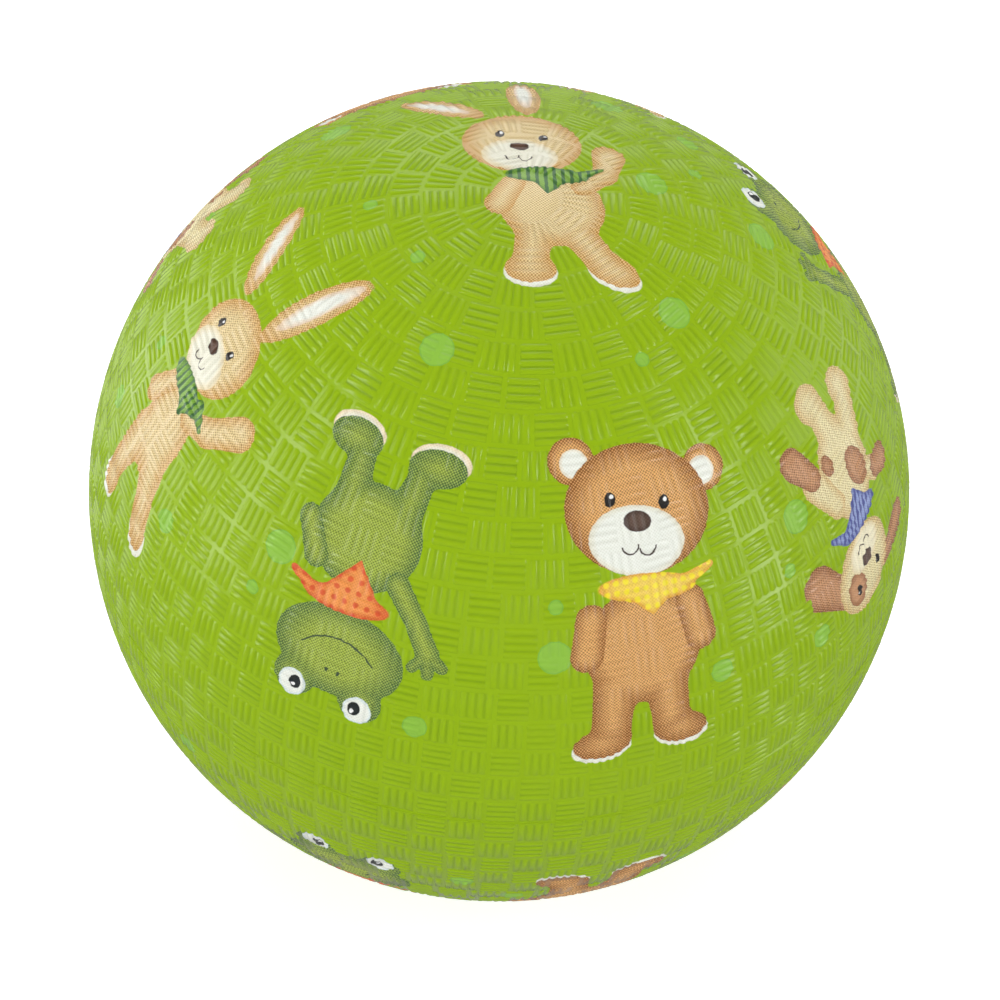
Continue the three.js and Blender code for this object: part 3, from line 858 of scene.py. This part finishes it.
def make_band(b):
    v, xyz, t, outer, rims, _ = build_band(b)
    me = bpy.data.meshes.new(NAMES[b])
    me.vertices.add(len(xyz))
    me.vertices.foreach_set("co", (xyz * 0.001).astype(np.float32).ravel())
    me.loops.add(3 * len(t))
    me.loops.foreach_set("vertex_index", t.astype(np.int32).ravel())
    me.polygons.add(len(t))
    me.polygons.foreach_set("loop_start", np.arange(0, 3 * len(t), 3, dtype=np.int32))
    me.polygons.foreach_set("use_smooth", np.ones(len(t), bool))
    # which figure and which dot each face belongs to
    d = unit(v[:, 0], v[:, 1])
    mid = d[t].sum(1)
    mid /= np.linalg.norm(mid, axis=1)[:, None]
    fig = np.zeros((len(t), 3, 3), np.float32)
    fig[..., 0] = 500.0
    mat = np.zeros(len(t), np.int32)
    best = np.full(len(t), 1.0)
    corners = d[t]
    for (kind, lon, colat, turn, hw, hh), axes in zip(FIGURES, fig_axes):
        place = on_sheet(mid, axes)
        lift = 28.0 if kind == "hare" else 0.0
        score = np.maximum(np.abs(place[:, 0]) / hw, np.abs(place[:, 1] - lift) / (hh - lift * 0.9))
        take = (score < best) & outer
        if not take.any():
            continue
        best[take] = score[take]
        mat[take] = KIND[kind]
        fig[take, :, :2] = on_sheet(corners[take], axes)
    dot = np.zeros((len(t), 3, 3), np.float32)
    dot[..., 0], dot[..., 2] = 500.0, 1.0
    for (lon, colat, size), p, axes in zip(spots, spot_dirs, spot_axes):
        reach = math.radians(size / 2) + 2.2 / R
        take = (mid @ p > math.cos(reach)) & outer
        if take.any():
            dot[take, :, :2] = on_sheet(corners[take], axes)
            dot[take, :, 2] = math.radians(size / 2) * R
    me.polygons.foreach_set("material_index", mat)
    me.update(calc_edges=True)
    sharp = np.zeros(len(xyz), np.int32)
    for i, rim in enumerate(rims):
        sharp[rim] = i + 1
    ends = np.zeros(2 * len(me.edges), np.int32)
    me.edges.foreach_get("vertices", ends)
    ends = ends.reshape(-1, 2)
    flag = (sharp[ends[:, 0]] > 0) & (sharp[ends[:, 0]] == sharp[ends[:, 1]])
    me.attributes.new("sharp_edge", "BOOLEAN", "EDGE").data.foreach_set("value", flag)
    # relief here is the painted shade value per vertex: low in the grooves between ribs, where the cover is painted
    # darker
    me.attributes.new("relief", "FLOAT", "POINT").data.foreach_set("value", v[:, 3].astype(np.float32))
    me.attributes.new("fig", "FLOAT_VECTOR", "CORNER").data.foreach_set("vector", fig.ravel())
    me.attributes.new("dot", "FLOAT_VECTOR", "CORNER").data.foreach_set("vector", dot.ravel())
    uv = me.uv_layers.new(name="OFBake")
    uv.data.foreach_set("uv", bake_layout(b, v, t, outer).astype(np.float32).ravel())
    for m in COVER:
        me.materials.append(m)
    me.validate(verbose=False)
    o = bpy.data.objects.new(NAMES[b], me)
    bpy.context.scene.collection.objects.link(o)
    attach(o, "root")
    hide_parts("cover")
    return o


bands = [make_band(b) for b in range(10)]
print("cover faces", sum(len(o.data.polygons) for o in bands), [len(o.data.polygons) for o in bands], "dots", len(spots))

# ---------------------------------------------------------------- stage, light, camera
scene = bpy.context.scene
scene.view_settings.view_transform = "Standard"
scene.view_settings.look = "None"

n = Net("floor_pale")
n.bsdf.inputs["Base Color"].default_value = (0.9, 0.9, 0.9, 1)
n.bsdf.inputs["Roughness"].default_value = 0.9
n.bsdf.inputs["Specular IOR Level"].default_value = 0.1
n.bsdf.inputs["Emission Color"].default_value = (1, 1, 1, 1)
n.bsdf.inputs["Emission Strength"].default_value = 0.55
fm = bpy.data.meshes.new("floor")
fz = -R * 0.001 - 0.00032
fm.from_pydata([(-1.5, -1.5, fz), (1.5, -1.5, fz), (1.5, 1.5, fz), (-1.5, 1.5, fz)], [], [(0, 1, 2, 3)])
fm.materials.append(n.mat)
floor = bpy.data.objects.new("floor", fm)
scene.collection.objects.link(floor)
floor.visible_glossy = floor.visible_diffuse = False

# a pale surround far beyond the floor, seen but lighting nothing
n = Net("backdrop_pale")
n.bsdf.inputs["Base Color"].default_value = (0.9, 0.9, 0.9, 1)
n.bsdf.inputs["Roughness"].default_value = 1.0
n.bsdf.inputs["Emission Color"].default_value = (1, 1, 1, 1)
n.bsdf.inputs["Emission Strength"].default_value = 1.0
wm = bpy.data.meshes.new("backdrop")
ring = [(11.5 * math.cos(math.pi * i / 24), 11.5 * math.sin(math.pi * i / 24)) for i in range(48)]
wm.from_pydata(
    [(x, y, -3.0) for x, y in ring] + [(x, y, 11.5) for x, y in ring],
    [],
    [(i, (i + 1) % 48, 48 + (i + 1) % 48, 48 + i) for i in range(48)] + [tuple(range(48, 96)), tuple(range(47, -1, -1))],
)
wm.materials.append(n.mat)
wall = bpy.data.objects.new("backdrop", wm)
scene.collection.objects.link(wall)
wall.visible_diffuse = wall.visible_glossy = wall.visible_shadow = wall.visible_transmission = False

world = bpy.data.worlds.new("studio")
scene.world = world
world.use_nodes = True
bg = world.node_tree.nodes["Background"]
bg.inputs[0].default_value = (1.0, 1.0, 1.0, 1)
bg.inputs[1].default_value = 0.34

EL, DIST, ROLL = math.radians(48.57), 8 * R * 0.001, math.radians(5.15)
back = Vector((0, -math.cos(EL), math.sin(EL)))
right0, up0 = Vector((1, 0, 0)), Vector((0, math.sin(EL), math.cos(EL)))
right = right0 * math.cos(ROLL) + up0 * math.sin(ROLL)
up = up0 * math.cos(ROLL) - right0 * math.sin(ROLL)


def soft_box(name, direction, distance, size, power):
    """An area light that faces the ball from a direction given in the camera's own right, up and back."""
    d = (right * direction[0] + up * direction[1] + back * direction[2]).normalized()
    lamp = bpy.data.lights.new(name, "AREA")
    lamp.shape = "RECTANGLE"
    lamp.size, lamp.size_y = size
    lamp.energy = power
    lamp.use_shadow = True
    o = bpy.data.objects.new(name, lamp)
    o.location = d * distance
    o.rotation_mode = "QUATERNION"
    o.rotation_quaternion = (-(-d)).to_track_quat("Z", "Y")
    o.visible_camera = False
    scene.collection.objects.link(o)
    return o


soft_box("light_left", (-0.88, 0.05, 0.42), 1.3, (0.22, 1.5), 4.6)
soft_box("light_right", (0.89, -0.06, 0.38), 1.3, (0.22, 1.5), 5.2)
soft_box("light_back_left", (-0.90, 0.25, -0.30), 1.3, (0.9, 0.9), 4.6)
soft_box("light_back_right", (0.90, 0.30, -0.30), 1.3, (0.9, 0.9), 1.6)
soft_box("light_back_top", (0.0, 0.95, -0.20), 1.3, (0.9, 0.9), 3.6)
# fill, broad enough to leave no highlight of its own
for name, direction, power in (
    ("fill_top", (0.0, 0.88, 0.40), 6.9),
    ("fill_low", (0.0, -0.66, 0.75), 2.2),
    ("fill_low_left", (-0.75, -0.45, 0.60), 8.0),
    ("fill_low_right", (0.75, -0.45, 0.60), 5.6),
):
    soft_box(name, direction, 1.3, (0.9, 0.9), power).visible_glossy = False

cam = bpy.data.cameras.new("camera")
cam.sensor_width = 36
cam.lens = 3259.5 / 1000 * 36
cam.clip_start, cam.clip_end = 0.01, 100
camera = bpy.data.objects.new("camera", cam)
scene.collection.objects.link(camera)
scene.camera = camera
px = DIST / 3259.5  # metres a pixel at the ball's centre
aim = right * (0.87 * px) - up * (8.5 * px)
where = aim + back * DIST
m = Matrix((right, up, back)).transposed().to_4x4()
m.translation = where
camera.matrix_world = m
